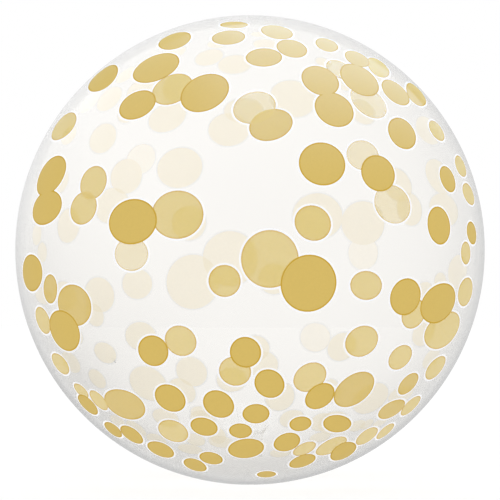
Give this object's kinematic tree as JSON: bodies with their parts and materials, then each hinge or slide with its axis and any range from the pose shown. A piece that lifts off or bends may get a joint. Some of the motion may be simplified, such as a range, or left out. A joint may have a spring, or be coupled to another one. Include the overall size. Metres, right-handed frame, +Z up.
{
  "type": "clear bubble balloon",
  "caption": "Round balloon of clear stretch film printed with gold dots, filled with air and lying on a small flat spot, with a short flattened filling neck low at the back.",
  "frame": {"origin": "centre of the small flat spot under the balloon, on the surface it lies on", "axes": "+Z up through the centre of the balloon, -Y towards the printed front, +Y towards the filling neck at the back, +X to the right seen from the front"},
  "size_m": [0.508, 0.508, 0.5072],
  "materials": {
    "clear_film": "clear glossy stretch film with gold dots printed on it"
  },
  "bodies": {
    "root": {"clear_bubble": "clear_film"}
  },
  "joints": []
}
